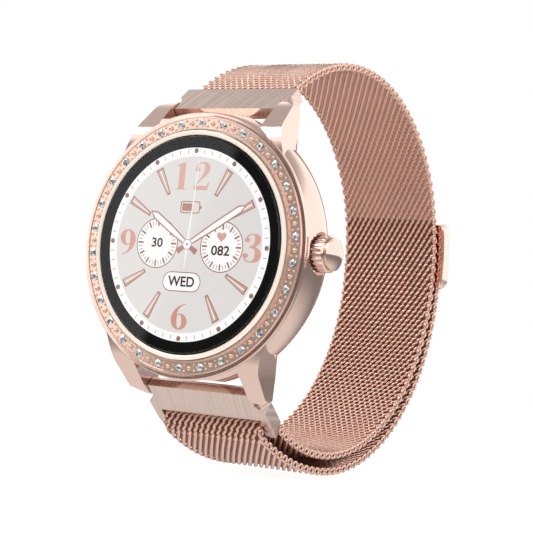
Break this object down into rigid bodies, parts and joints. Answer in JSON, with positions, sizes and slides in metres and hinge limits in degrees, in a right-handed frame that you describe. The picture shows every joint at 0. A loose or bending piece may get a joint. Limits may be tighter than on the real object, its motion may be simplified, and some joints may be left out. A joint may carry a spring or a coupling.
{
  "type": "smartwatch",
  "caption": "Round smartwatch with a stone-set bezel, push-and-turn crown and a woven metal mesh strap closed by a magnetic clasp.",
  "frame": {"origin": "middle of the flat sensor face on the case back, where the charger sits", "axes": "+Y out of the sensor face into the wrist, so the dial faces -Y; +X towards the crown at 3 o'clock; +Z towards 12 o'clock"},
  "size_m": [0.0419, 0.0626, 0.0631],
  "materials": {
    "case_metal": "polished rose-gold plating",
    "trim_metal": "mirror-polished pale gold",
    "bead_metal": "polished rose-gold plating",
    "stones": "faceted crystal",
    "glass": "clear, black border print",
    "display": "lit round screen",
    "brushed_metal": "brushed rose-gold plating",
    "clasp_metal": "satin rose-gold plating",
    "mesh": "woven wire, rose-gold plating",
    "steel": "plain stainless steel",
    "seal": "matt",
    "black_plastic": "moulded",
    "board": "solder mask",
    "cell": "pouch foil",
    "magnet": "nickel plating",
    "gold_contact": "gold flash"
  },
  "bodies": {
    "case": {"mid_case": "case_metal", "bezel_ring": "case_metal", "bezel_stones": "stones", "bezel_beads_large": "bead_metal", "bezel_beads_small": "bead_metal", "glass_trim_ring": "trim_metal", "cover_glass": "glass", "glass_gasket": "seal", "display_panel": "display", "display_flex": "board", "movement_frame": "black_plastic", "battery": "cell", "main_board": "board", "board_shield": "steel", "main_chip": "board", "vibration_motor": "steel", "crown_switch": "black_plastic", "back_gasket": "seal", "case_back": "case_metal", "back_screws": "steel", "sensor_board": "board", "optical_sensor": "black_plastic", "sensor_holder": "black_plastic", "sensor_window": "glass", "charging_pins": "gold_contact", "charging_magnets": "magnet", "crown_tube": "steel", "top_bar_barrel": "steel", "bottom_bar_barrel": "steel"},
    "crown_slider": {"crown_stem_clip": "steel"},
    "crown": {"crown_stem": "steel", "stem_seals": "seal", "encoder_magnet": "magnet", "crown_knob": "case_metal", "crown_groove_ring": "case_metal", "crown_cap": "case_metal"},
    "switch_plunger": {"crown_switch_plunger": "black_plastic"},
    "top_tip_right": {"top_bar_tip_right": "steel"},
    "top_tip_left": {"top_bar_tip_left": "steel"},
    "bottom_tip_right": {"bottom_bar_tip_right": "steel"},
    "bottom_tip_left": {"bottom_bar_tip_left": "steel"},
    "top_link": {"top_connector": "brushed_metal", "mesh_loop_1": "mesh"},
    "loop_2": {"mesh_loop_2": "mesh"},
    "loop_3": {"mesh_loop_3": "mesh"},
    "loop_4": {"mesh_loop_4": "mesh"},
    "loop_5": {"mesh_loop_5": "mesh"},
    "loop_6": {"mesh_loop_6": "mesh"},
    "loop_7": {"mesh_loop_7": "mesh"},
    "bottom_link": {"bottom_connector": "brushed_metal", "fold_bar": "steel"},
    "tail_1": {"mesh_tail_1": "mesh"},
    "tail_2": {"mesh_tail_2": "mesh"},
    "tail_3": {"mesh_tail_3": "mesh"},
    "clasp": {"mesh_tail_4": "mesh", "clasp_plate": "clasp_metal", "clasp_liner": "clasp_metal", "clasp_magnet": "magnet"}
  },
  "joints": [
    {"name": "crown_press", "type": "slide", "parent": "case", "child": "crown_slider", "axis": [-1, 0, 0], "range_m": [0, 0.0004], "stiffness_N_per_m": 5000},
    {"name": "crown_turn", "type": "hinge", "parent": "crown_slider", "child": "crown", "pos_m": [0.02, -0.006, 0], "axis": [1, 0, 0], "continuous": true},
    {"name": "switch_press", "type": "slide", "parent": "case", "child": "switch_plunger", "axis": [-1, 0, 0], "range_m": [0, 0.0006]},
    {"name": "top_right_tip_press", "type": "slide", "parent": "case", "child": "top_tip_right", "axis": [-1, 0, 0], "range_m": [0, 0.00082], "stiffness_N_per_m": 3000},
    {"name": "top_left_tip_press", "type": "slide", "parent": "case", "child": "top_tip_left", "axis": [1, 0, 0], "range_m": [0, 0.00082], "stiffness_N_per_m": 3000},
    {"name": "bottom_right_tip_press", "type": "slide", "parent": "case", "child": "bottom_tip_right", "axis": [-1, 0, 0], "range_m": [0, 0.00082], "stiffness_N_per_m": 3000},
    {"name": "bottom_left_tip_press", "type": "slide", "parent": "case", "child": "bottom_tip_left", "axis": [1, 0, 0], "range_m": [0, 0.00082], "stiffness_N_per_m": 3000},
    {"name": "strap_flex", "type": "hinge", "parent": "case", "child": "top_link", "pos_m": [0, -0.00324, 0.02023], "axis": [1, 0, 0], "range_deg": [-12, 12]},
    {"name": "loop_bend_1", "type": "hinge", "parent": "top_link", "child": "loop_2", "pos_m": [0, 0.00338, 0.02563], "axis": [1, 0, 0], "range_deg": [-7.23, 7.23]},
    {"name": "loop_bend_2", "type": "hinge", "parent": "loop_2", "child": "loop_3", "pos_m": [0, 0.01649, 0.03047], "axis": [1, 0, 0], "range_deg": [-2.48, 2.48]},
    {"name": "loop_bend_3", "type": "hinge", "parent": "loop_3", "child": "loop_4", "pos_m": [0, 0.03567, 0.02611], "axis": [1, 0, 0], "range_deg": [-21.94, 21.94]},
    {"name": "loop_bend_4", "type": "hinge", "parent": "loop_4", "child": "loop_5", "pos_m": [0, 0.04635, 0.01339], "axis": [1, 0, 0], "range_deg": [-14.02, 14.02]},
    {"name": "loop_bend_5", "type": "hinge", "parent": "loop_5", "child": "loop_6", "pos_m": [0, 0.04108, -0.01901], "axis": [1, 0, 0], "range_deg": [-13.28, 13.28]},
    {"name": "loop_bend_6", "type": "hinge", "parent": "loop_6", "child": "loop_7", "pos_m": [0, 0.01468, -0.02834], "axis": [1, 0, 0], "range_deg": [-12.82, 12.82]},
    {"name": "bottom_pivot", "type": "hinge", "parent": "case", "child": "bottom_link", "pos_m": [0, -0.00324, -0.02023], "axis": [1, 0, 0], "range_deg": [-19.1, 19.1]},
    {"name": "tail_root", "type": "hinge", "parent": "bottom_link", "child": "tail_1", "pos_m": [0, 0.0017, -0.0252], "axis": [1, 0, 0], "range_deg": [-21.14, 21.14]},
    {"name": "tail_bend_1", "type": "hinge", "parent": "tail_1", "child": "tail_2", "pos_m": [0, 0.01455, -0.03082], "axis": [1, 0, 0], "range_deg": [-12.82, 12.82]},
    {"name": "tail_bend_2", "type": "hinge", "parent": "tail_2", "child": "tail_3", "pos_m": [0, 0.04261, -0.02076], "axis": [1, 0, 0], "range_deg": [-13.28, 13.28]},
    {"name": "clasp_peel", "type": "hinge", "parent": "tail_3", "child": "clasp", "pos_m": [0, 0.04997, -0.00633], "axis": [-1, 0, 0], "range_deg": [0, 70]}
  ],
  "couplings": [
    {"joint": "loop_bend_1", "follows": "strap_flex", "ratio": -0.37659},
    {"joint": "loop_bend_2", "follows": "strap_flex", "ratio": -0.12893},
    {"joint": "loop_bend_3", "follows": "strap_flex", "ratio": -1.1424},
    {"joint": "loop_bend_4", "follows": "strap_flex", "ratio": 0.73043},
    {"joint": "loop_bend_5", "follows": "strap_flex", "ratio": 0.69176},
    {"joint": "loop_bend_6", "follows": "strap_flex", "ratio": -0.66777},
    {"joint": "bottom_pivot", "follows": "strap_flex", "ratio": -0.99454},
    {"joint": "tail_root", "follows": "strap_flex", "ratio": 1.101},
    {"joint": "tail_bend_1", "follows": "strap_flex", "ratio": 0.66777},
    {"joint": "tail_bend_2", "follows": "strap_flex", "ratio": -0.69176},
    {"joint": "switch_press", "follows": "crown_press", "ratio": 1}
  ]
}
